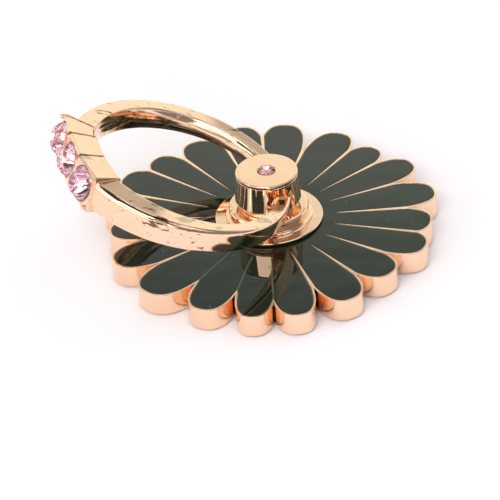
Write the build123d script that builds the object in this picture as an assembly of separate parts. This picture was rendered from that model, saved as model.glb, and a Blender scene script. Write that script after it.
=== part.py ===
from build123d import *
import math
import os

os.makedirs("parts", exist_ok=True)

# ---------------------------------------------------------------- driving dimensions (mm, degrees)
# frame: origin in the middle of the adhesive face, +Z up, ring lying towards -X, ring hinge along Y
plate_z0, plate_z1 = 0.2, 2.8          # underside and rim top of the flower plate
edge_w, rim_w = 0.32, 0.22             # outline beyond the petal tips below, metal rim round the enamel
ridge_hw, ridge_hw_front = 0.155, 0.10 # half width of a metal ridge at its outer end, thinner on the front side
ridge_r, drowned = 7.6, (225.0, 275.0) # where the ridges run out; between these angles the enamel covers them
enamel_floor, enamel_top = 2.30, 2.77
boss_r, boss_z = 5.9, 2.9              # middle boss that carries the swivel seat
pad_r, pad_t, pad_recess_r = 13.8, 0.8, 13.9
pocket_r, web_z = 3.3, 1.95            # underside pocket for the washers
spigot_r = 2.6

flange_r, flange_z1 = 6.28, 3.22       # swivel seat
step_r, step_z1 = 4.66, 4.75
bore_r, stem_r = 1.56, 1.50            # swivel running fit

neck_r, neck_z0, neck_z1 = 3.3, 4.80, 5.45
drum_r0, drum_r1, drum_z1 = 3.85, 3.60, 8.85
cap_r, cap_z1 = 3.62, 9.30
cap_stone_r = 1.00

hinge_x, hinge_z = 1.0, 6.6            # ring hinge line, along Y
ring_tilt = 20.9                       # ring tilt at rest
web_hw = 1.4                           # half width of the drum web that holds the pin
pin_r, pin_half = 0.60, 2.9
pin_bore_r = 0.66
lug_r, lug_y0, lug_y1 = 1.2, 1.6, 3.70

out_c, out_a, out_b = 11.87, 13.05, 13.95     # hoop outside: centre, half length, half width
in_c, in_a, in_b = 11.30, 11.08, 11.85        # hoop inside
edge_rounds = (0.0, 0.22, 0.22, 0.26)         # inner top, inner bottom and outer bottom edges
shoulder_in, shoulder_h, swell = 0.42, 0.62, 0.18  # rolled-over shoulder of the outer wall, below a crisp top edge
in_bulge, out_bulge = 0.30, 0.06       # crown of the hoop's inner and outer walls

# three-stone setting: (distance from the hinge, offset towards the front, facing angle) of each collet face
collets = {"ring_stone_rear": (25.35, -3.95, -4.0), "ring_stone_middle": (24.98, 0.62, 6.0),
           "ring_stone_front": (24.06, 5.40, 17.0)}
collet_w, collet_depth, collet_n0, collet_n1 = 4.62, 3.35, -3.20, 1.45
bead_r = 0.30
stone_r, stone_n, stone_crown = 2.05, -0.80, 1.15
groove_w, groove_depth = 0.30, 0.50    # slits between the collets
rear_cut = ((0.0, -1.95), (-3.35, -0.45), 0.35)  # slanting rear end of the setting's top: outer point, inner point, height

# petal tips (angle, enamel radius) and notches between them (angle, metal radius)
yaw = 7.0
tips = [(9, 19.6), (29, 19.6), (44.8, 18.6), (61, 19.4), (82, 20.0), (97.8, 20.1), (116, 19.2),
        (132, 19.2), (147.5, 19.8), (165, 19.5), (182, 18.4), (201, 19.2), (222.5, 19.7),
        (244.5, 19.5), (261.5, 19.9), (277, 20.1), (295, 19.5), (315, 18.5), (334.5, 19.2), (351, 18.7)]
notches = [(0, 16.2), (19.5, 15.8), (37.4, 16.6), (52.4, 16.7), (71.6, 14.8), (90.3, 17.8), (106, 16.2),
           (124.6, 16.9), (139.2, 18.2), (156.6, 16.4), (173.5, 16.0), (191, 15.5), (211.4, 15.3),
           (234.4, 15.4), (253.6, 15.9), (269, 17.6), (286, 15.6), (305.6, 15.8), (325, 15.8), (343, 17.8)]
petal_m, petal_n = 2.5, 4.0            # roundness of the petal ends
count = len(tips)


def polar(r, deg):
    return (r * math.cos(math.radians(deg)), r * math.sin(math.radians(deg)))


def petal_radius(i, deg):
    tip_a, tip_r = tips[i][0], tips[i][1] + edge_w
    na, nr = notches[i] if deg < tip_a else notches[(i + 1) % count]
    if deg >= tip_a and na < tip_a:
        na += 360.0
    span = abs(na - tip_a) / (1.0 - (nr / tip_r) ** petal_n) ** (1.0 / petal_m)
    return tip_r * (1.0 - min(0.9999, abs(deg - tip_a) / span) ** petal_m) ** (1.0 / petal_n)


def petal_limits(i):
    a0, a1 = notches[i][0], notches[(i + 1) % count][0]
    return a0, (a1 + 360.0 if a1 < a0 else a1)


def metal_points(i, steps=16):
    a0, a1 = petal_limits(i)
    return [polar(petal_radius(i, a), a - yaw) for a in
            [a0 + (a1 - a0) * k / steps for k in range(steps + 1)]]


def ridge_half(deg):
    return ridge_hw_front if 225.0 < deg % 360.0 < 300.0 else ridge_hw


def enamel_points(i, steps=240):
    a0, a1 = petal_limits(i)
    pts = []
    for k in range(steps + 1):
        a = a0 + (a1 - a0) * k / steps
        d = 0.02
        p0 = polar(petal_radius(i, max(a - d, a0)), max(a - d, a0))
        p1 = polar(petal_radius(i, min(a + d, a1)), min(a + d, a1))
        tx, ty = p1[0] - p0[0], p1[1] - p0[1]
        ln = math.hypot(tx, ty)
        p = polar(petal_radius(i, a), a)
        q = (p[0] - ty / ln * rim_w, p[1] + tx / ln * rim_w)
        r = math.hypot(*q)
        ang = math.degrees(math.atan2(q[1], q[0]))
        ang += 360.0 * round((a - ang) / 360.0)
        low = r * math.sin(math.radians(ang - a0))
        high = r * math.sin(math.radians(a1 - ang))
        if low > ridge_half(a0) and high > ridge_half(a1):
            pts.append(polar(r, ang - yaw))
    n = 14
    return [pts[round(k * (len(pts) - 1) / n)] for k in range(n + 1)]


def ridge_end(i):
    deg, r = notches[i % count]
    return r - 0.8 if drowned[0] < deg < drowned[1] else ridge_r


def vec(points, z):
    return [Vector(x, y, z) for x, y in points]


def flower_face(z):
    return Face(Wire([Edge.make_spline(vec(metal_points(i), z)) for i in range(count)]))


def enamel_face(z):
    edges = []
    for i in range(count):
        a0, a1 = petal_limits(i)
        pts = vec(enamel_points(i), z)
        first, last = vec([polar(ridge_end(i), a0 - yaw), polar(ridge_end(i + 1), a1 - yaw)], z)
        edges += [Edge.make_line(first, pts[0]), Edge.make_spline(pts), Edge.make_line(pts[-1], last)]
    return Face(Wire(edges))


def turned(points):
    face = Face(Wire.make_polygon([Vector(r, 0, z) for r, z in points], close=True))
    return revolve(face, Axis.Z)


def rod(r, z0, z1):
    return Pos(0, 0, (z0 + z1) / 2) * Cylinder(r, z1 - z0)


def cross_rod(r, y0, y1):
    return Pos(hinge_x, (y0 + y1) / 2, hinge_z) * Rot(90, 0, 0) * Cylinder(r, y1 - y0)


def solid_of(shape):
    return max(shape.solids(), key=lambda s: s.volume)


def gem(r, table, crown, belt, depth):
    """Round brilliant, girdle on z = 0, table up; flat triangles only."""
    def ring(n, rad, z, off):
        return [Vector(rad * math.cos(math.radians(off + 360.0 * k / n)),
                       rad * math.sin(math.radians(off + 360.0 * k / n)), z) for k in range(n)]
    t = ring(8, table, crown, 0)
    m = ring(8, table + (r - table) * 0.52, crown * 0.62, 22.5)
    g1, g0 = ring(16, r, belt / 2, 0), ring(16, r, -belt / 2, 0)
    p = ring(8, r * 0.34, -depth * 0.72, 0)
    culet = Vector(0, 0, -depth)
    faces = [Face(Wire.make_polygon(t, close=True))]

    def tri(*c):
        faces.append(Face(Wire.make_polygon(list(c), close=True)))
    for k in range(8):
        a, b = 2 * k, 2 * k + 1
        c = (2 * k + 2) % 16
        n = (k + 1) % 8
        tri(t[k], m[k], t[n])
        tri(t[k], g1[a], m[k])
        tri(g1[a], g1[b], m[k])
        tri(m[k], g1[b], g1[c])
        tri(m[k], g1[c], t[n])
        for u, v in ((a, b), (b, c)):
            tri(g1[u], g0[u], g0[v])
            tri(g1[u], g0[v], g1[v])
        tri(g0[a], p[k], g0[b])
        tri(g0[b], p[k], p[n])
        tri(g0[b], p[n], g0[c])
        tri(p[k], culet, p[n])
    s = Solid(Shell(faces))
    return s if s.volume > 0 else Solid(Shell([-f for f in faces]))


# ---------------------------------------------------------------- base: plate, enamel, seat, pad, spring washer
ring_of_boss = rod(boss_r, enamel_floor - 0.5, boss_z)
cavity = extrude(enamel_face(enamel_floor), amount=2.0, dir=(0, 0, 1)) - rod(boss_r, 0, 6)
plate = extrude(flower_face(plate_z0), amount=plate_z1 - plate_z0, dir=(0, 0, 1))
plate = plate - cavity + ring_of_boss
plate = plate - rod(pad_recess_r, -1, pad_t) - rod(pocket_r, 0, web_z) - rod(spigot_r, 0, 6)
enamel = extrude(enamel_face(enamel_floor), amount=enamel_top - enamel_floor, dir=(0, 0, 1)) - rod(boss_r, 0, 6)

seat_pts = [(bore_r, web_z), (spigot_r, web_z), (spigot_r, boss_z), (flange_r - 0.12, boss_z),
            (flange_r, boss_z + 0.10), (flange_r, flange_z1 - 0.08), (flange_r - 0.08, flange_z1), (5.12, flange_z1)]
for k in range(1, 8):
    a = math.radians(90.0 * k / 8)
    seat_pts.append((5.12 - 0.46 * math.sin(a), flange_z1 + 0.46 * (1 - math.cos(a))))
seat_pts += [(step_r, flange_z1 + 0.46), (step_r, step_z1 - 0.30), (step_r - 0.10, step_z1 - 0.10),
             (step_r - 0.30, step_z1), (bore_r, step_z1)]
seat = turned(seat_pts)
pad = rod(pad_r, 0, pad_t)
spring_washer = turned([(1.7, 1.53), (3.0, 1.70), (3.0, 1.95), (1.7, 1.78)])

# ---------------------------------------------------------------- spinner: head, cap, stone, pin, washer
head = turned([(0, 0.95), (2.1, 0.95), (2.1, 1.2), (stem_r, 1.2), (stem_r, neck_z0), (neck_r, neck_z0),
               (neck_r, neck_z1), (drum_r0 - 0.30, neck_z1), (drum_r0 - 0.09, neck_z1 + 0.09),
               (drum_r0, neck_z1 + 0.30), (drum_r1, drum_z1 - 0.05), (drum_r1 - 0.05, drum_z1),
               (1.2, drum_z1), (1.2, 8.2), (0, 8.2)])
for side in (-1, 1):
    slot = Pos(hinge_x, side * (web_hw + 2.5), 6.625) * Box(2.9, 5.0, 3.85)
    head = head - slot - cross_rod(1.72, *sorted((side * web_hw, side * 6.0)))
head = head - cross_rod(pin_r, -3.0, 3.0)
gem_cap = gem(cap_stone_r, 0.55, 0.30, 0.08, 0.55)
cap_gem = Pos(0, 0, cap_z1 - 0.02) * gem_cap
cap = turned([(0, 8.25), (1.2, 8.25), (1.2, drum_z1), (cap_r - 0.22, drum_z1), (cap_r - 0.22, drum_z1 + 0.14),
              (cap_r - 0.03, drum_z1 + 0.14), (cap_r, drum_z1 + 0.17), (cap_r, cap_z1 - 0.14), (cap_r - 0.04, cap_z1 - 0.05),
              (cap_r - 0.14, cap_z1), (1.16, cap_z1), (1.06, cap_z1 - 0.06), (1.06, cap_z1 - 0.08),
              (0.22, cap_z1 - 0.62), (0, cap_z1 - 0.62)])
pin = cross_rod(pin_r, -pin_half, pin_half)
washer = turned([(stem_r, 1.2), (3.0, 1.2), (3.0, 1.5), (stem_r, 1.5)])

# ---------------------------------------------------------------- ring: hoop, lugs, setting, stones
tau = math.radians(ring_tilt)
ring_plane = Plane(origin=(hinge_x, 0, hinge_z), x_dir=(-math.cos(tau), 0, math.sin(tau)),
                   z_dir=(math.sin(tau), 0, math.cos(tau)))


def hoop_section(deg):
    t = math.radians(deg)
    o = (out_c + out_a * math.cos(t), out_b * math.sin(t))
    i = (in_c + in_a * math.cos(t), in_b * math.sin(t))
    w = math.hypot(o[0] - i[0], o[1] - i[1])
    ux, uy = (o[0] - i[0]) / w, (o[1] - i[1]) / w
    quad = [(w + swell, 1.22 - 0.019 * o[0]), (0, min(1.31, max(0.85, 0.471 + 0.047 * i[0]))), (0, -1.031 - 0.047 * i[0]), (w + swell / 2, -1.388 - 0.054 * o[0])]

    def at(p):
        return Vector(i[0] + ux * p[0], i[1] + uy * p[0], p[1])
    edges, cuts = [], []
    for k in range(4):
        p, a, b = quad[k], quad[k - 1], quad[(k + 1) % 4]
        la, lb = math.dist(p, a), math.dist(p, b)
        e = [((a[0] - p[0]) / la, (a[1] - p[1]) / la), ((b[0] - p[0]) / lb, (b[1] - p[1]) / lb)]
        half = math.acos(max(-1, min(1, e[0][0] * e[1][0] + e[0][1] * e[1][1]))) / 2
        round_r = edge_rounds[k]
        if not round_r:
            big = (shoulder_in ** 2 + shoulder_h ** 2) / (2 * shoulder_in)
            turn = math.asin(shoulder_h / big) / 2
            low = (p[0] + e[0][0] * shoulder_h, p[1] + e[0][1] * shoulder_h)
            mid = (low[0] - big * (1 - math.cos(turn)), low[1] + big * math.sin(turn))
            cuts.append((low, mid, (p[0] + e[1][0] * shoulder_in, p[1] + e[1][1] * shoulder_in)))
            continue
        d = round_r / math.tan(half)
        s = [(p[0] + v[0] * d, p[1] + v[1] * d) for v in e]
        bx, by = e[0][0] + e[1][0], e[0][1] + e[1][1]
        bl = math.hypot(bx, by)
        h = round_r / math.sin(half) - round_r
        cuts.append((s[0], (p[0] + bx / bl * h, p[1] + by / bl * h), s[1]))
    for k in range(4):
        s0, mid, s1 = cuts[k]
        edges.append(Edge.make_three_point_arc(at(s0), at(mid), at(s1)))
        s2 = cuts[(k + 1) % 4][0]
        bulge = {1: -in_bulge, 3: out_bulge}.get(k, 0.0)
        if bulge:
            edges.append(Edge.make_three_point_arc(at(s1), at(((s1[0] + s2[0]) / 2 + bulge, (s1[1] + s2[1]) / 2)), at(s2)))
        else:
            edges.append(Edge.make_line(at(s1), at(s2)))
    return Wire(edges)


angles = [166, 159, 151, 140, 125, 108, 90, 72, 54, 38, 24, 10, -10, -24, -38, -54, -72, -90, -108, -125, -140, -151, -159, -166]
hoop = Solid.make_loft([hoop_section(a) for a in angles])


def face_plane(spot):
    s, y, deg = spot
    t = math.radians(deg)
    return Plane(origin=(s, y, 0), x_dir=(math.cos(t), math.sin(t), 0), z_dir=(0, 0, 1))


def in_plane(plane, shape):
    return plane.location * shape


def between(p, q, k):
    return tuple(u + (v - u) * k for u, v in zip(p, q))


spots = list(collets.values())
seams = [between(spots[0], spots[1], -0.43), between(spots[0], spots[1], 0.5),
         between(spots[1], spots[2], 0.5), between(spots[1], spots[2], 1.43)]
setting = None
c = 0.22
d = collet_depth
for spot in spots:
    prof = [(-d, collet_n0 + 0.9), (0.9 - d, collet_n0), (-c, collet_n0), (0, collet_n0 + c), (0, collet_n1 - c),
            (-c, collet_n1), (c - d, collet_n1), (-d, collet_n1 - c)]
    face = Face(Wire.make_polygon([Vector(r, -collet_w / 2, n) for r, n in prof], close=True))
    block = in_plane(face_plane(spot), extrude(face, amount=collet_w, dir=(0, 1, 0)))
    setting = block if setting is None else setting + block
for seam in seams:
    for n in (collet_n1 - 0.46, collet_n0 + 0.50):
        setting = setting + in_plane(face_plane(seam), Pos(-0.05, 0, n) * Sphere(bead_r))
for seam in seams[1:3]:
    groove = Pos(-1.6, 0, collet_n1 + 0.5 - groove_depth) * Box(4.6, groove_w, 1.0)
    setting = setting - in_plane(face_plane(seam), groove)
(x0, y0), (x1, y1), cut_n = rear_cut
slant = Plane(origin=((x0 + x1) / 2, (y0 + y1) / 2, 0), x_dir=(x0 - x1, y0 - y1, 0), z_dir=(0, 0, 1))
behind = in_plane(slant, Pos(0, -2.0, cut_n + 1.5) * Box(8.0, 4.0, 3.0))
setting = setting - in_plane(face_plane(spots[0]), behind)
bead = Pos(x0 - 0.15, y0 - 0.02, collet_n1 - 0.42) * Sphere(bead_r + 0.04)
setting = setting + in_plane(face_plane(spots[0]), bead)
slit = in_plane(slant, Pos(-0.15, 0.14 + groove_w / 2, collet_n1 + 0.5 - groove_depth) * Box(3.4, groove_w, 1.0))

ring = in_plane(ring_plane, Part() + hoop + setting - in_plane(face_plane(spots[0]), slit))
stones = {}
brilliant = gem(stone_r, 1.15, stone_crown, 0.10, 1.55)
lay = Pos(-0.08, 0, stone_n) * Rot(0, 90, 0)
seat_cut = (Pos(0, 0, 0.60) * Cylinder(stone_r + 0.03, 1.32)
            + Pos(0, 0, -0.06 - 0.83) * Cone(0.10, stone_r + 0.03, 1.66))
for name, spot in collets.items():
    ring = ring - in_plane(ring_plane, in_plane(face_plane(spot), lay * seat_cut))
    stones[name] = in_plane(ring_plane, in_plane(face_plane(spot), lay * brilliant))
for side in (-1, 1):
    ring = ring + cross_rod(lug_r, *sorted((side * lug_y0, side * lug_y1)))
    ring = ring - cross_rod(pin_bore_r, *sorted((side * 1.0, side * (pin_half + 0.2))))

# ---------------------------------------------------------------- export
nodes = {
    "base_plate": plate, "enamel_fill": enamel, "swivel_seat": seat, "adhesive_pad": pad,
    "spring_washer": spring_washer, "pivot_head": head, "head_cap": cap, "cap_stone": cap_gem,
    "hinge_pin": pin, "retaining_washer": washer, "finger_ring": ring,
}
nodes.update(stones)
for name, shape in nodes.items():
    part = solid_of(shape)
    print(name, "solids", len(shape.solids()), "volume", round(part.volume, 3), "valid", part.is_valid)
    export_step(part, "parts/" + name + ".step")
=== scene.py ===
import math

import bpy
from mathutils import Matrix, Vector


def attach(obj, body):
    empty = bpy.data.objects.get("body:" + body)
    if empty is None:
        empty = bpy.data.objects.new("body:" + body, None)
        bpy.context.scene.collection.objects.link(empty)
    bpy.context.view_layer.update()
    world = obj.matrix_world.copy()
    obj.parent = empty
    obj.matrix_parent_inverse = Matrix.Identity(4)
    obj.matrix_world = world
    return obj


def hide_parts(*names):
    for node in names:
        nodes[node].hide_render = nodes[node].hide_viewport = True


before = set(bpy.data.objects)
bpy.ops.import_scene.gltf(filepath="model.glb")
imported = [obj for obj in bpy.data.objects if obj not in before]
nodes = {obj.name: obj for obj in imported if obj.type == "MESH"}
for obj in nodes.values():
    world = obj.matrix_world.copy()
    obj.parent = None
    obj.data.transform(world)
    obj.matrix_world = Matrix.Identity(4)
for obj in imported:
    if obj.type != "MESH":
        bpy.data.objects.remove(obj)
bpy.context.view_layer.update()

MM = 0.001
scene = bpy.context.scene


# ---------------------------------------------------------------- node helpers
def new_material(name):
    m = bpy.data.materials.new(name)
    m.use_nodes = True
    t = m.node_tree
    t.nodes.clear()
    out = t.nodes.new("ShaderNodeOutputMaterial")
    bsdf = t.nodes.new("ShaderNodeBsdfPrincipled")
    t.links.new(bsdf.outputs[0], out.inputs["Surface"])
    return m, t, bsdf


def noise(t, coord, scale, detail=3.0, rough=0.5):
    n = t.nodes.new("ShaderNodeTexNoise")
    n.inputs["Scale"].default_value = scale
    n.inputs["Detail"].default_value = detail
    n.inputs["Roughness"].default_value = rough
    t.links.new(coord, n.inputs["Vector"])
    return n.outputs["Fac"]


def cells(t, coord, scale):
    n = t.nodes.new("ShaderNodeTexVoronoi")
    n.inputs["Scale"].default_value = scale
    t.links.new(coord, n.inputs["Vector"])
    return n.outputs["Distance"]


def ramp(t, fac, stops):
    r = t.nodes.new("ShaderNodeValToRGB")
    e = r.color_ramp.elements
    while len(e) < len(stops):
        e.new(0.5)
    for k, (p, c) in enumerate(stops):
        e[k].position = p
        e[k].color = (*c, 1.0) if len(c) == 3 else c
    t.links.new(fac, r.inputs["Fac"])
    return r.outputs["Color"]


def grey(t, fac, p0, v0, p1, v1):
    return ramp(t, fac, [(p0, (v0, v0, v0)), (p1, (v1, v1, v1))])


def mix(t, fac, a, b, blend="MIX"):
    m = t.nodes.new("ShaderNodeMix")
    m.data_type = "RGBA"
    m.blend_type = blend
    for sock, v in ((m.inputs["Factor"], fac), (m.inputs["A"], a), (m.inputs["B"], b)):
        if isinstance(v, bpy.types.NodeSocket):
            t.links.new(v, sock)
        elif isinstance(v, (int, float)):
            sock.default_value = v
        else:
            sock.default_value = (*v, 1.0)
    return m.outputs["Result"]


def math_node(t, op, a, b=None):
    m = t.nodes.new("ShaderNodeMath")
    m.operation = op
    for sock, v in zip(m.inputs, (a, b)):
        if v is None:
            continue
        if isinstance(v, bpy.types.NodeSocket):
            t.links.new(v, sock)
        else:
            sock.default_value = v
    return m.outputs[0]


def bump(t, height, strength, distance, normal=None):
    b = t.nodes.new("ShaderNodeBump")
    b.inputs["Strength"].default_value = strength
    b.inputs["Distance"].default_value = distance
    t.links.new(height, b.inputs["Height"])
    if normal is not None:
        t.links.new(normal, b.inputs["Normal"])
    return b.outputs["Normal"]


def soft_edges(t, radius):
    b = t.nodes.new("ShaderNodeBevel")
    b.samples = 6
    b.inputs["Radius"].default_value = radius
    return b.outputs["Normal"]


def coords(t):
    return t.nodes.new("ShaderNodeTexCoord").outputs["Object"]


def stretch(t, coord, scale):
    n = t.nodes.new("ShaderNodeMapping")
    n.inputs["Scale"].default_value = scale
    t.links.new(coord, n.inputs["Vector"])
    return n.outputs["Vector"]


# ---------------------------------------------------------------- materials
def rose_gold(name, edge, pits, haze=0.0, wave=(330.0, 0.06, 0.0004), rise=1.0, wear_and_painted_reflection=0.0):
    m, t, b = new_material(name)
    co = coords(t)
    cloud = noise(t, co, 160.0, 4.0)
    tone = ramp(t, cloud, [(0.30, (0.955, 0.668, 0.465)), (0.70, (0.985, 0.703, 0.505))])
    # sparse casting pits and grains under the plating
    field = grey(t, noise(t, co, 210.0, 2.0), 0.56, 0.0, 0.66, 1.0)
    spot = grey(t, cells(t, co, 2600.0), 0.10, 1.0, 0.24, 0.0)
    pit = math_node(t, "MULTIPLY", math_node(t, "MULTIPLY", field, spot), pits)
    colour = mix(t, pit, tone, (0.30, 0.13, 0.06))
    # painted shade: base colour darkened towards near-black brown where ambient occlusion finds creases, recesses and
    # joints between parts
    shade = t.nodes.new("ShaderNodeAmbientOcclusion")
    shade.samples = 8
    shade.inputs["Distance"].default_value = 0.00035
    colour = mix(t, grey(t, shade.outputs["AO"], 0.12, 1.0, 0.42, 0.0), colour, (0.035, 0.016, 0.009))
    wipe = noise(t, co, 420.0, 5.0, 0.6)
    rough = math_node(t, "ADD", grey(t, wipe, 0.35, 0.035 + haze, 0.75, 0.085 + haze), math_node(t, "MULTIPLY", pit, 0.35))
    base = soft_edges(t, edge)
    if wear_and_painted_reflection:
        # brown drag marks along the hoop (wear), pushed to near-black at four listed spots as painted dark reflection;
        # dull grey smudges, sandy cast skin
        along = t.nodes.new("ShaderNodeMapping")
        along.vector_type = "TEXTURE"
        along.inputs["Rotation"].default_value = (0.0, 0.33, -0.36)
        along.inputs["Scale"].default_value = (4.0, 1.0, 1.0)
        t.links.new(co, along.inputs["Vector"])
        drag_and_painted_reflection = noise(t, along.outputs["Vector"], 2100.0, 4.0, 0.65)
        wear_and_reflection_spots = grey(t, noise(t, co, 150.0, 1.0), 0.56, 0.0, 0.68, 0.12)
        # painted dark reflection: near-black brown around these listed points, where the polished hoop mirrors dark
        # surroundings
        for spot, reach, amount in (((-14.1, -13.2, 12.75), 1.6, 1.0), ((-10.2, -13.3, 11.4), 1.3, 0.50), ((-17.3, 8.0, 14.9), 1.2, 0.75), ((-1.5, 10.5, 8.6), 1.5, 0.5)):
            near = t.nodes.new("ShaderNodeVectorMath")
            near.operation = "DISTANCE"
            t.links.new(co, near.inputs[0])
            near.inputs[1].default_value = [v * MM for v in spot]
            wear_and_reflection_spots = math_node(t, "MAXIMUM", wear_and_reflection_spots, grey(t, math_node(t, "MULTIPLY", near.outputs["Value"], 0.5 / (reach * MM)), 0.25, amount, 0.65, 0.0))
        drag_and_painted_reflection = grey(t, math_node(t, "ADD", drag_and_painted_reflection, math_node(t, "MULTIPLY", wear_and_reflection_spots, 0.17)), 0.645, 0.0, 0.675, 1.0)
        drag_and_painted_reflection = math_node(t, "MULTIPLY", drag_and_painted_reflection, wear_and_painted_reflection)
        colour = mix(t, drag_and_painted_reflection, colour, (0.070, 0.030, 0.016))
        grain = noise(t, co, 3800.0, 3.0, 0.7)
        smudge = math_node(t, "MULTIPLY", grey(t, noise(t, stretch(t, co, (0.6, 1.0, 1.0)), 430.0, 3.0), 0.63, 0.0, 0.67, 1.0),
                           grey(t, grain, 0.38, 0.35, 0.60, 1.0))
        smudge = math_node(t, "MULTIPLY", smudge, wear_and_painted_reflection)
        colour = mix(t, smudge, colour, (0.46, 0.40, 0.33))
        sandy = grey(t, noise(t, co, 240.0, 2.0), 0.46, 0.0, 0.62, 0.05)
        rough = math_node(t, "ADD", math_node(t, "ADD", rough, sandy), math_node(t, "MULTIPLY", smudge, 0.35))
        base = bump(t, grain, 0.10 * wear_and_painted_reflection, 0.00005, base)
    t.links.new(colour, b.inputs["Base Color"])
    b.inputs["Metallic"].default_value = 1.0
    t.links.new(rough, b.inputs["Roughness"])
    ripple = bump(t, noise(t, stretch(t, co, (1.0, 1.0, rise)), wave[0], 1.5), wave[1], wave[2], base)
    t.links.new(bump(t, math_node(t, "SUBTRACT", 1.0, pit), 0.35, 0.00008, ripple), b.inputs["Normal"])
    return m


gold_plate = rose_gold("gold_plate", 0.00010, 0.35)
gold_turned = rose_gold("gold_turned", 0.00006, 0.25, wave=(330.0, 0.02, 0.0003))
gold_ring = rose_gold("gold_ring", 0.00014, 0.9, wear_and_painted_reflection=0.85)
gold_drum = rose_gold("gold_drum", 0.00007, 0.25, wave=(520.0, 0.22, 0.0004), rise=0.05)


def enamel_material():
    m, t, b = new_material("enamel_green")
    co = coords(t)
    cloud = noise(t, co, 90.0, 3.0)
    tone = ramp(t, cloud, [(0.30, (0.0040, 0.0110, 0.0060)), (0.75, (0.0070, 0.0170, 0.0095))])
    # ridges that lie just under the pour, seen through it as thin green lines
    line = None
    for deg, outer in ((234.4, 0.0152), (253.6, 0.0157), (269.0, 0.0174)):
        a = math.radians(deg - 7.0)
        across, along = t.nodes.new("ShaderNodeVectorMath"), t.nodes.new("ShaderNodeVectorMath")
        for n, v in ((across, (-math.sin(a), math.cos(a), 0)), (along, (math.cos(a), math.sin(a), 0))):
            n.operation = "DOT_PRODUCT"
            t.links.new(co, n.inputs[0])
            n.inputs[1].default_value = v
        thin = grey(t, math_node(t, "MULTIPLY", math_node(t, "ABSOLUTE", across.outputs["Value"]), 1000.0), 0.03, 1.0, 0.13, 0.0)
        run = grey(t, math_node(t, "MULTIPLY", along.outputs["Value"], 1.0 / outer), 0.47, 0.0, 0.62, 1.0)
        one = math_node(t, "MULTIPLY", thin, run)
        line = one if line is None else math_node(t, "MAXIMUM", line, one)
    tone = mix(t, line, tone, (0.030, 0.085, 0.040))
    dust = grey(t, cells(t, co, 900.0), 0.030, 1.0, 0.055, 0.0)
    keep = grey(t, noise(t, co, 500.0, 1.0), 0.60, 0.0, 0.64, 1.0)
    speck = math_node(t, "MULTIPLY", dust, keep)
    t.links.new(mix(t, speck, tone, (0.55, 0.57, 0.52)), b.inputs["Base Color"])
    t.links.new(math_node(t, "ADD", grey(t, noise(t, co, 260.0, 4.0), 0.3, 0.015, 0.8, 0.05),
                          math_node(t, "MULTIPLY", speck, 0.4)), b.inputs["Roughness"])
    b.inputs["IOR"].default_value = 1.50
    wave = bump(t, noise(t, co, 170.0, 1.5), 0.05, 0.0006, soft_edges(t, 0.00030))
    t.links.new(bump(t, line, 0.25, 0.00005, wave), b.inputs["Normal"])
    return m


def foam_material():
    m, t, b = new_material("foam_pad")
    co = coords(t)
    grain = noise(t, co, 2500.0, 4.0)
    t.links.new(ramp(t, grain, [(0.3, (0.010, 0.010, 0.011)), (0.7, (0.030, 0.030, 0.033))]), b.inputs["Base Color"])
    t.links.new(grey(t, grain, 0.3, 0.75, 0.7, 0.95), b.inputs["Roughness"])
    t.links.new(bump(t, grain, 0.5, 0.00008), b.inputs["Normal"])
    return m


def steel_material():
    m, t, b = new_material("steel_inside")
    co = coords(t)
    grain = noise(t, co, 1500.0, 5.0)
    t.links.new(ramp(t, grain, [(0.3, (0.42, 0.42, 0.43)), (0.7, (0.60, 0.60, 0.61))]), b.inputs["Base Color"])
    b.inputs["Metallic"].default_value = 1.0
    t.links.new(grey(t, grain, 0.3, 0.22, 0.7, 0.38), b.inputs["Roughness"])
    t.links.new(bump(t, grain, 0.15, 0.00004), b.inputs["Normal"])
    return m


def crystal_material(name, dark, light):
    m, t, b = new_material(name)
    co = coords(t)
    tone = ramp(t, noise(t, co, 700.0, 2.0), [(0.35, dark), (0.65, light)])
    # painted reflection: each facet's listed tint (glint white, pink, dark plum, lilac) multiplies the crystal colour
    facet_reflection_tint = t.nodes.new("ShaderNodeAttribute")
    facet_reflection_tint.attribute_name = "facet_reflection_tint"
    t.links.new(mix(t, 1.0, tone, facet_reflection_tint.outputs["Color"], "MULTIPLY"), b.inputs["Base Color"])
    b.inputs["Transmission Weight"].default_value = 1.0
    b.inputs["IOR"].default_value = 1.56
    t.links.new(grey(t, noise(t, co, 900.0, 3.0), 0.3, 0.0, 0.8, 0.02), b.inputs["Roughness"])
    return m


def foil_material(name, a, c):
    m, t, b = new_material(name)
    co = coords(t)
    tone = ramp(t, noise(t, co, 1100.0, 2.0), [(0.35, a), (0.65, c)])
    # painted reflection: each facet's listed tint (glint white, pink, dark plum, lilac) multiplies the foil colour
    facet_reflection_tint = t.nodes.new("ShaderNodeAttribute")
    facet_reflection_tint.attribute_name = "facet_reflection_tint"
    t.links.new(mix(t, 1.0, tone, facet_reflection_tint.outputs["Color"], "MULTIPLY"), b.inputs["Base Color"])
    b.inputs["Metallic"].default_value = 1.0
    t.links.new(grey(t, noise(t, co, 1400.0, 2.0), 0.3, 0.03, 0.8, 0.10), b.inputs["Roughness"])
    return m


enamel = enamel_material()
foam = foam_material()
steel = steel_material()
crystal = crystal_material("crystal_pink", (0.99, 0.86, 0.865), (1.0, 0.93, 0.93))
foil = foil_material("foil_pink", (0.94, 0.84, 0.90), (1.0, 0.92, 0.96))


def paint(node, material):
    o = nodes[node]
    o.data.materials.clear()
    o.data.materials.append(material)


for name, material in (("base_plate", gold_plate), ("enamel_fill", enamel), ("swivel_seat", gold_turned),
                       ("adhesive_pad", foam), ("spring_washer", steel), ("pivot_head", gold_drum),
                       ("head_cap", gold_turned), ("hinge_pin", steel), ("retaining_washer", steel),
                       ("finger_ring", gold_ring)):
    paint(name, material)


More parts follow.
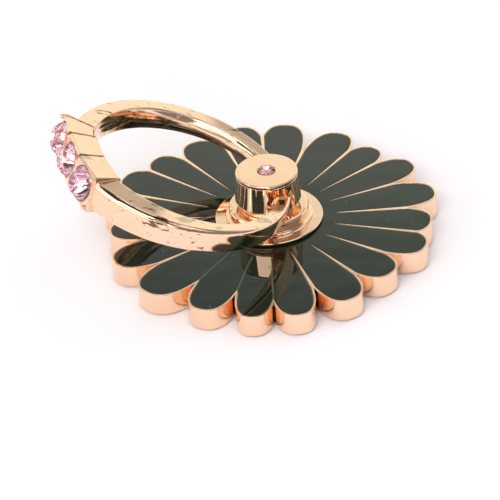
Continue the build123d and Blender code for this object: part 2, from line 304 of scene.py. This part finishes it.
# ---------------------------------------------------------------- stones: cut crowns over foiled backs, each facet tinted as a painted reflection
# painted reflections and glints: per-facet tints, light and dark, with the darker set on the front stone
CROWN_REFLECTION_TINTS = [(1.0, 0.99, 0.99), (0.99, 0.93, 0.94), (1.0, 0.98, 0.98), (0.96, 0.84, 0.87), (1.0, 0.99, 1.0), (0.98, 0.90, 0.92)]
PALE_REFLECTION_TINTS = [(1.0, 0.96, 0.95), (0.98, 0.82, 0.82), (0.99, 0.90, 0.90), (0.95, 0.70, 0.72), (1.0, 0.95, 0.95),
        (0.75, 0.46, 0.48), (0.99, 0.86, 0.86)]
DEEP_REFLECTION_TINTS = [(0.99, 0.80, 0.84), (0.97, 0.68, 0.72), (0.30, 0.10, 0.12), (0.86, 0.84, 1.0), (1.0, 0.97, 0.99),
        (0.56, 0.40, 0.50), (0.99, 0.86, 0.89), (0.92, 0.90, 1.0), (0.78, 0.48, 0.54)]


def brilliant(name, r, table, crown, belt, depth, place, seed, reflection_tints):
    def ring(n, rad, z, off):
        return [Vector((rad * math.cos(math.radians(off + 360.0 * k / n)),
                        rad * math.sin(math.radians(off + 360.0 * k / n)), z)) for k in range(n)]
    verts = (ring(8, table, crown, 0) + ring(8, table + (r - table) * 0.52, crown * 0.62, 22.5)
             + ring(16, r, belt / 2, 0) + ring(16, r, -belt / 2, 0) + ring(8, r * 0.34, -depth * 0.72, 0)
             + [Vector((0, 0, -depth))])
    t, m, g1, g0, p, culet = 0, 8, 16, 32, 48, 56
    faces, slots = [tuple(range(8))], [0]

    def add(face, slot):
        faces.append(face)
        slots.append(slot)
    for k in range(8):
        a, b, c, n = 2 * k, 2 * k + 1, (2 * k + 2) % 16, (k + 1) % 8
        add((t + k, m + k, t + n), 0)
        add((t + k, g1 + a, m + k), 0)
        add((g1 + a, g1 + b, m + k), 0)
        add((m + k, g1 + b, g1 + c), 0)
        add((m + k, g1 + c, t + n), 0)
        for u, v in ((a, b), (b, c)):
            add((g1 + u, g0 + u, g0 + v, g1 + v), 1)
        add((g0 + a, p + k, g0 + b), 1)
        add((g0 + b, p + k, p + n), 1)
        add((g0 + b, p + n, g0 + c), 1)
        add((p + k, culet, p + n), 1)
    mesh = bpy.data.meshes.new(name)
    mesh.from_pydata([tuple(place @ (v * MM)) for v in verts], [], faces)
    mesh.materials.append(crystal)
    mesh.materials.append(foil)
    for f, s in zip(mesh.polygons, slots):
        f.material_index = s
    # painted reflection: one listed tint per facet, pavilion facets from the stone's set, crown facets from the crown
    # set
    layer = mesh.color_attributes.new("facet_reflection_tint", "FLOAT_COLOR", "CORNER")
    for k, f in enumerate(mesh.polygons):
        c = reflection_tints[(k * 5 + seed * 3 + (k * k) % 3) % len(reflection_tints)] if slots[k] else CROWN_REFLECTION_TINTS[(k + k // 7) % len(CROWN_REFLECTION_TINTS)]
        for i in f.loop_indices:
            layer.data[i].color = (*c, 1.0)
    mesh.update()
    o = bpy.data.objects.new(name, mesh)
    scene.collection.objects.link(o)
    return o


tau = math.radians(20.9)
ring_frame = Matrix(((-math.cos(tau), 0, math.sin(tau), 1.0 * MM),
                     (0, -1, 0, 0),
                     (math.sin(tau), 0, math.cos(tau), 6.6 * MM),
                     (0, 0, 0, 1)))
for node, (s, y, deg) in (("ring_stone_rear", (25.35, -3.95, -4.0)), ("ring_stone_middle", (24.98, 0.62, 6.0)),
                          ("ring_stone_front", (24.06, 5.40, 17.0))):
    a = math.radians(deg)
    face = Matrix(((math.cos(a), -math.sin(a), 0, s * MM), (math.sin(a), math.cos(a), 0, y * MM),
                   (0, 0, 1, 0), (0, 0, 0, 1)))
    lay = Matrix.Translation((-0.08 * MM, 0, -0.80 * MM)) @ Matrix.Rotation(math.radians(90), 4, "Y")
    o = brilliant("cut_" + node, 2.05, 1.15, 1.15, 0.10, 1.55, ring_frame @ face @ lay, len(node), DEEP_REFLECTION_TINTS if node.endswith("front") else PALE_REFLECTION_TINTS)
    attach(o, "ring")
    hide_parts(node)
o = brilliant("cut_cap_stone", 1.00, 0.55, 0.30, 0.08, 0.55, Matrix.Translation((0, 0, 9.28 * MM)), 4, PALE_REFLECTION_TINTS + DEEP_REFLECTION_TINTS[2:3])
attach(o, "spinner")
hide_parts("cap_stone")

# ---------------------------------------------------------------- floor, light, camera
floor_mesh = bpy.data.meshes.new("floor")
h = 1.6
floor_mesh.from_pydata([(-h, -h, -0.00004), (h, -h, -0.00004), (h, h, -0.00004), (-h, h, -0.00004)], [], [(0, 1, 2, 3)])
floor = bpy.data.objects.new("floor", floor_mesh)
scene.collection.objects.link(floor)
m, t, b = new_material("floor_white")
co = coords(t)
t.links.new(ramp(t, noise(t, co, 6.0, 2.0), [(0.3, (0.920, 0.895, 0.945)), (0.7, (0.930, 0.905, 0.955))]), b.inputs["Base Color"])
b.inputs["Roughness"].default_value = 0.9
b.inputs["Specular IOR Level"].default_value = 0.1
floor_mesh.materials.append(m)

world = bpy.data.worlds.new("tent")
scene.world = world
world.use_nodes = True
wt = world.node_tree
wt.nodes.clear()
wo = wt.nodes.new("ShaderNodeOutputWorld")
bg = wt.nodes.new("ShaderNodeBackground")
wt.links.new(bg.outputs[0], wo.inputs["Surface"])
way = wt.nodes.new("ShaderNodeTexCoord").outputs["Generated"]


def towards(vector):
    d = wt.nodes.new("ShaderNodeVectorMath")
    d.operation = "DOT_PRODUCT"
    wt.links.new(way, d.inputs[0])
    d.inputs[1].default_value = vector
    return d.outputs["Value"]


def step(value, a, b, va=0.0, vb=1.0):
    n = wt.nodes.new("ShaderNodeMapRange")
    n.interpolation_type = "SMOOTHSTEP"
    wt.links.new(value, n.inputs["Value"])
    for k, v in (("From Min", a), ("From Max", b), ("To Min", va), ("To Max", vb)):
        n.inputs[k].default_value = v
    return n.outputs["Result"]


# white backdrop behind, a wide panel left of the photographer, a smaller one high on the right,
# two bare tubes on the left, and a dark gap under the ceiling
height = towards((0, 0, 1))


def azimuth(deg):
    a = math.radians(deg)
    c, s = Vector((-0.122, -0.9925)), Vector((0.9925, -0.122))
    ahead, aside = c * math.cos(a) + s * math.sin(a), s * math.cos(a) - c * math.sin(a)
    return math_node(wt, "ABSOLUTE", math_node(wt, "ARCTAN2", towards((*aside, 0)), towards((*ahead, 0))))


def patch(deg, half, soft, z0, z1, rise):
    across = step(azimuth(deg), math.radians(half - soft), math.radians(half + soft), 1.0, 0.0)
    tall = math_node(wt, "MULTIPLY", step(height, z0 - rise, z0 + rise), step(height, z1 - rise, z1 + rise, 1.0, 0.0))
    return math_node(wt, "MULTIPLY", across, tall)


room = mix(wt, step(height, 0.532, 0.582), (1.06, 1.065, 0.945), (0.52, 0.515, 0.475))
room = mix(wt, step(height, 0.60, 0.75), room, (0.85, 0.83, 0.80))
front = step(towards((-0.122, -0.9925, 0)), -0.30, 0.02)
dim = mix(wt, step(height, 0.66, 0.72), (0.26, 0.25, 0.245), (0.05, 0.04, 0.035))
room = mix(wt, front, room, dim)
room = mix(wt, step(height, 0.93, 0.97), room, (0.85, 0.83, 0.80))
room = mix(wt, patch(46.0, 27.0, 4.0, 0.60, 0.88, 0.04), room, (1.10, 1.06, 1.06))
for z0, z1 in ((0.09, 0.36), (0.455, 0.62)):
    room = mix(wt, patch(-45.0, 46.0, 3.0, z0, z1, 0.02), room, (1.80, 1.77, 1.75))
for deg, half, z0, z1 in ((-69.0, 9.0, 0.365, 0.45), (-8.0, 10.0, 0.365, 0.45), (-26.0, 34.0, 0.66, 0.705)):
    room = mix(wt, patch(deg, half, 1.5, z0, z1, 0.008), room, (7.5, 7.3, 7.0))
wt.links.new(room, bg.inputs["Color"])
bg.inputs["Strength"].default_value = 1.0


def soft_box(name, place, aim, size, power, colour=(1, 1, 1)):
    light = bpy.data.lights.new(name, "AREA")
    light.shape = "RECTANGLE"
    light.size, light.size_y = size
    light.energy = power
    light.color = colour
    o = bpy.data.objects.new(name, light)
    scene.collection.objects.link(o)
    o.location = place
    o.rotation_euler = (Vector(aim) - Vector(place)).to_track_quat("-Z", "Y").to_euler()
    o.visible_glossy = False
    return o


soft_box("key", (-0.20, -0.34, 0.52), (0, 0, 0), (0.45, 0.45), 1.60)
soft_box("fill", (0.25, 0.15, 0.60), (0, 0, 0), (0.45, 0.45), 0.50)

E, roll, dist, px, u0, v0 = math.radians(34.0), math.radians(-4.0), 400.0, 3432.0, 269.4, 217.0
fwd = Vector((0, math.cos(E), -math.sin(E)))
right = Vector((1, 0, 0))
up = right.cross(fwd)
r2 = right * math.cos(roll) + up * math.sin(roll)
u2 = up * math.cos(roll) - right * math.sin(roll)
eye = -(fwd * dist + r2 * ((u0 - 250) / px * dist) + u2 * (-(v0 - 250) / px * dist)) + Vector((0, 0, 2.8))
turn = Matrix.Rotation(math.radians(-7.0), 3, "Z")
r2, u2, back, eye = turn @ r2, turn @ u2, turn @ (-fwd), turn @ eye
cam = bpy.data.cameras.new("camera")
cam.sensor_width = 36.0
cam.lens = px / 500.0 * 36.0
cam.clip_start, cam.clip_end = 0.01, 20.0
cam_obj = bpy.data.objects.new("camera", cam)
scene.collection.objects.link(cam_obj)
cam_obj.matrix_world = Matrix(((r2.x, u2.x, back.x, eye.x * MM), (r2.y, u2.y, back.y, eye.y * MM),
                               (r2.z, u2.z, back.z, eye.z * MM), (0, 0, 0, 1)))
scene.camera = cam_obj
scene.view_settings.view_transform = "Standard"
scene.cycles.glossy_bounces = 10

bpy.context.view_layer.update()
